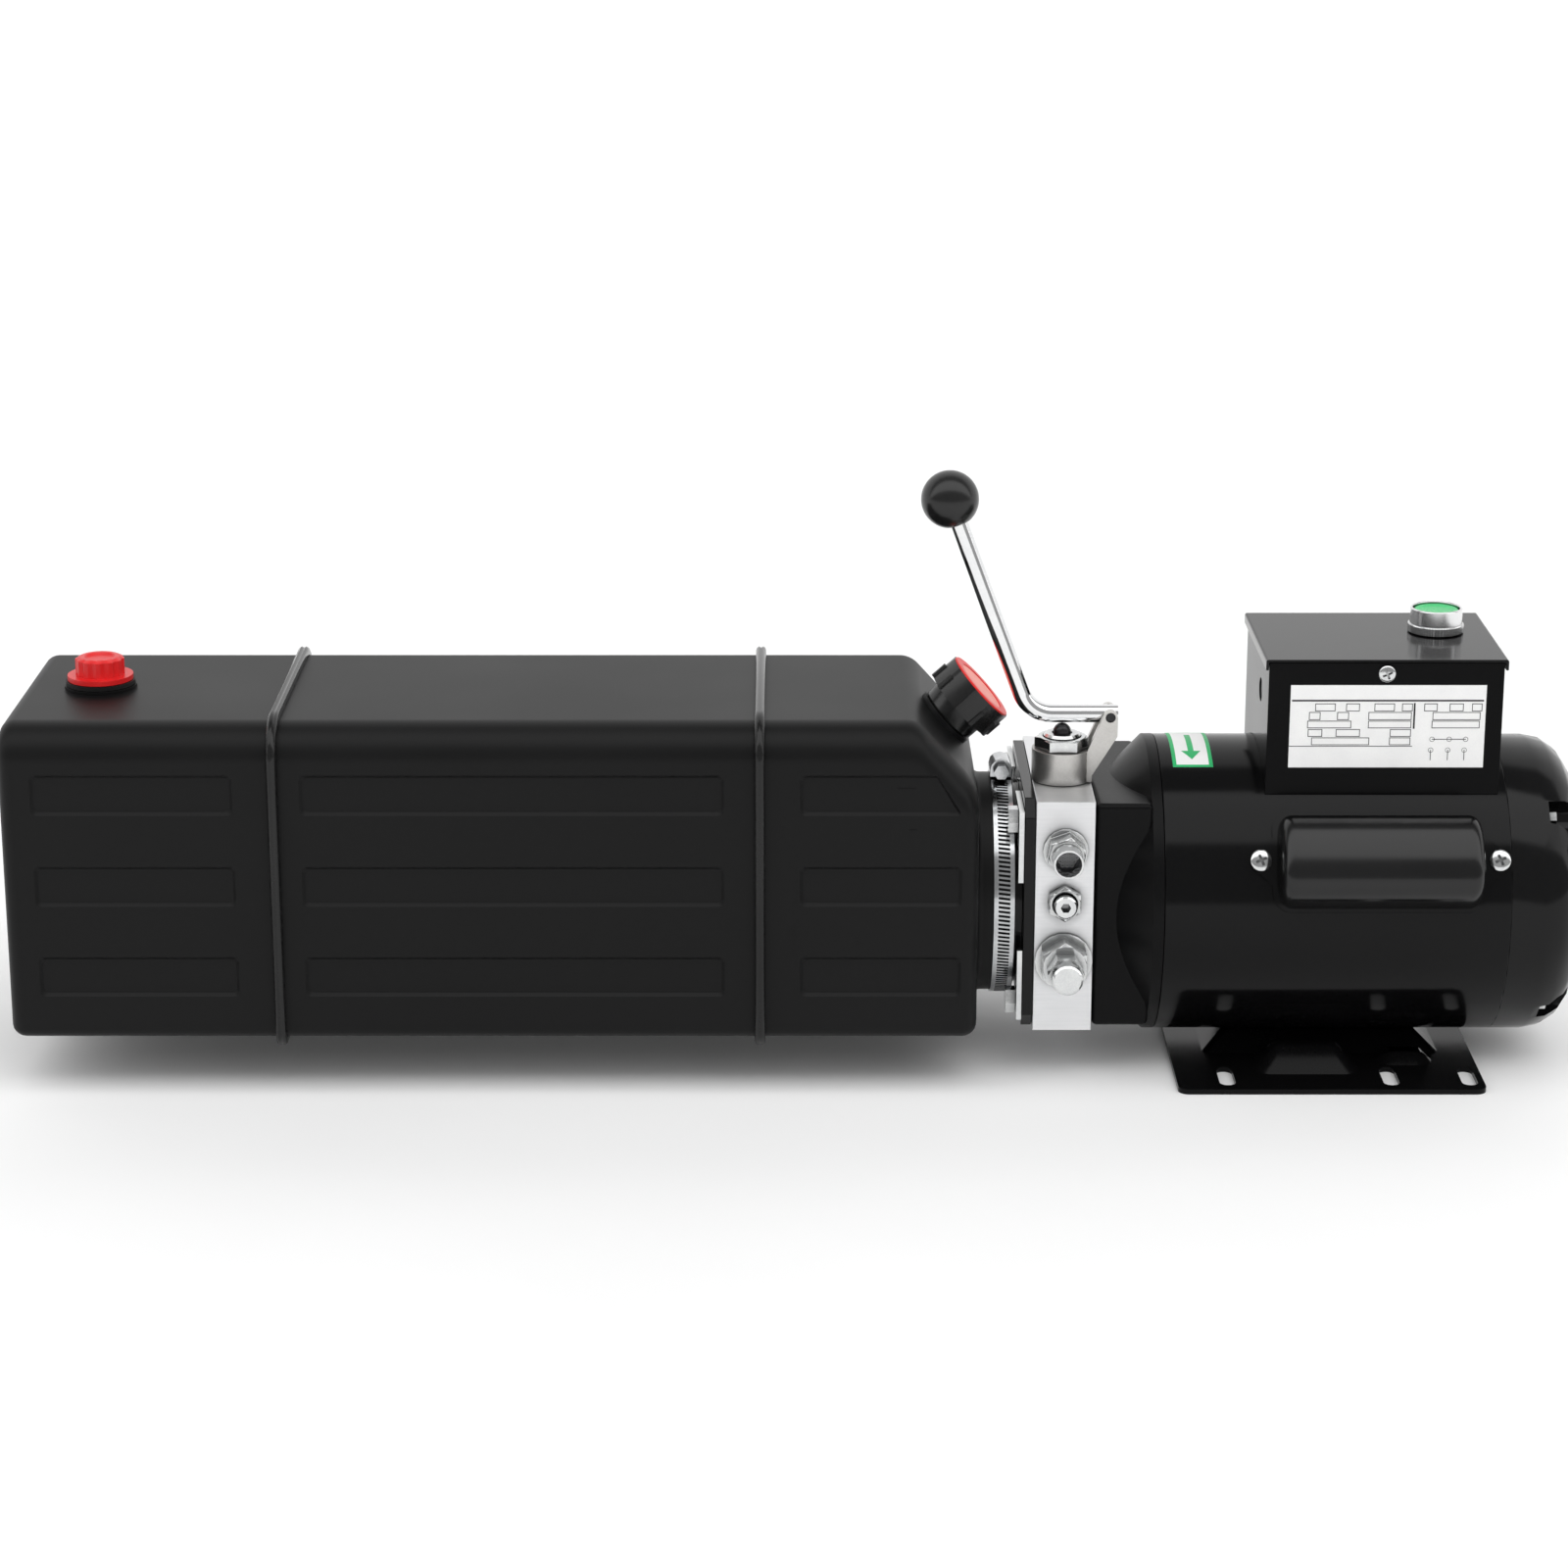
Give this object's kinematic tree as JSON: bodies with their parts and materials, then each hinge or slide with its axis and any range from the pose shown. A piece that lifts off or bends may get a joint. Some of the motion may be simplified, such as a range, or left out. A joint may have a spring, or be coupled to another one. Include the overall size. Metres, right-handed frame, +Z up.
{
  "type": "hydraulic power unit",
  "caption": "Electric hydraulic power unit: long black oil tank, bright valve block with release lever and ports, and a motor on a slotted foot plate with a start button box.",
  "frame": {"origin": "centre of the footprint of the whole unit, at the underside of the foot plate", "axes": "+X along the shaft from the tank to the motor, +Y away from the ports, +Z up"},
  "size_m": [0.8566, 0.1916, 0.3339],
  "materials": {
    "tank_plastic": "satin moulded",
    "hoop_rubber": "glossy",
    "red_plastic": "gloss",
    "orange_plastic": "gloss",
    "black_plastic": "semi-gloss",
    "black_rubber": "matt",
    "black_paint": "gloss paint",
    "zinc": "bright zinc plate",
    "aluminium": "milled",
    "cast_zinc": "cast, satin",
    "chrome": "polished",
    "black_oxide": "black oxide",
    "steel": "ground",
    "cast_iron": "as cast",
    "copper": "laminated core with varnished windings",
    "green_plastic": "translucent look",
    "grey_plastic": "moulded"
  },
  "bodies": {
    "frame": {"tank": "tank_plastic", "tank_hoop_left": "hoop_rubber", "tank_hoop_right": "hoop_rubber", "clamp_band": "zinc", "clamp_housing": "zinc", "clamp_screw": "zinc", "tank_flange": "black_paint", "corner_plate_1": "zinc", "corner_plate_2": "zinc", "corner_plate_3": "zinc", "corner_plate_4": "zinc", "flange_bolt_1": "zinc", "flange_bolt_2": "zinc", "flange_bolt_3": "zinc", "flange_bolt_4": "zinc", "valve_block": "aluminium", "outlet_fitting": "zinc", "relief_valve_body": "zinc", "check_valve_plug": "zinc", "release_valve_body": "zinc", "lock_nut": "zinc", "lever_bracket": "cast_zinc", "lever_pin": "black_oxide", "pump_body": "cast_iron", "pump_cover": "cast_iron", "suction_tube": "steel", "suction_filter": "zinc", "front_end_bell": "black_paint", "front_bearing": "steel", "motor_shell": "black_paint", "rear_end_bell": "black_paint", "rear_bearing": "steel", "through_bolt_1": "zinc", "through_bolt_2": "zinc", "through_bolt_3": "zinc", "through_bolt_4": "zinc", "stator": "copper", "foot_plate": "black_paint", "terminal_box": "black_paint", "box_lid": "black_paint", "lid_screw": "zinc", "button_bezel": "chrome", "contact_block": "grey_plastic", "capacitor_cover": "black_paint", "capacitor": "grey_plastic", "cover_screw_left": "zinc", "cover_screw_right": "zinc"},
    "lever_arm": {"lever": "chrome", "lever_knob": "black_plastic"},
    "plunger": {"release_plunger": "black_oxide"},
    "button": {"start_button": "green_plastic"},
    "filler_ring": {"filler_cap_ring": "black_plastic"},
    "filler_lid": {"filler_cap": "black_plastic", "filler_cap_disc": "orange_plastic"},
    "breather_ring": {"breather_seal": "black_rubber"},
    "breather_lid": {"breather_cap": "red_plastic"},
    "motor_rotor": {"rotor": "steel", "drive_gear": "steel"},
    "pump_gear": {"driven_gear": "steel"},
    "relief_adjuster": {"relief_screw": "zinc"}
  },
  "joints": [
    {"name": "lever_press", "type": "hinge", "parent": "frame", "child": "lever_arm", "pos_m": [0.17125, -0.0153, 0.1983], "axis": [0, -1, 0], "range_deg": [0, 7], "stiffness_Nm_per_rad": 1, "springref_deg": -17.19},
    {"name": "plunger_slide", "type": "slide", "parent": "frame", "child": "plunger", "axis": [0, 0, -1], "range_m": [0, 0.0035]},
    {"name": "start_press", "type": "slide", "parent": "frame", "child": "button", "axis": [0, 0, -1], "range_m": [0, 0.004], "stiffness_N_per_m": 800, "springref_m": -0.002},
    {"name": "filler_lift", "type": "slide", "parent": "frame", "child": "filler_ring", "axis": [0.7418, 0, 0.6706], "range_m": [0, 0.0073]},
    {"name": "filler_turn", "type": "hinge", "parent": "filler_ring", "child": "filler_lid", "pos_m": [0.08125, 0.0047, 0.18965], "axis": [0.7418, 0, 0.6706], "range_deg": [0, 720]},
    {"name": "breather_lift", "type": "slide", "parent": "frame", "child": "breather_ring", "axis": [0, 0, 1], "range_m": [0, 0.0042]},
    {"name": "breather_turn", "type": "hinge", "parent": "breather_ring", "child": "breather_lid", "pos_m": [-0.38475, 0.0047, 0.2079], "axis": [0, 0, 1], "range_deg": [0, 720]},
    {"name": "rotor_spin", "type": "hinge", "parent": "frame", "child": "motor_rotor", "pos_m": [0.29325, 0.0047, 0.0955], "axis": [1, 0, 0], "continuous": true},
    {"name": "pump_gear_spin", "type": "hinge", "parent": "frame", "child": "pump_gear", "pos_m": [0.10695, 0.0047, 0.0715], "axis": [1, 0, 0], "continuous": true},
    {"name": "relief_turn", "type": "hinge", "parent": "frame", "child": "relief_adjuster", "pos_m": [0.1455, -0.0608, 0.1044], "axis": [0, -1, 0], "range_deg": [-360, 360]}
  ],
  "couplings": [
    {"joint": "plunger_slide", "follows": "lever_press", "m_per_rad": 0.02575},
    {"joint": "filler_lift", "follows": "filler_turn", "m_per_rad": 0.00057296},
    {"joint": "breather_lift", "follows": "breather_turn", "m_per_rad": 0.00031831},
    {"joint": "pump_gear_spin", "follows": "rotor_spin", "ratio": -1}
  ]
}
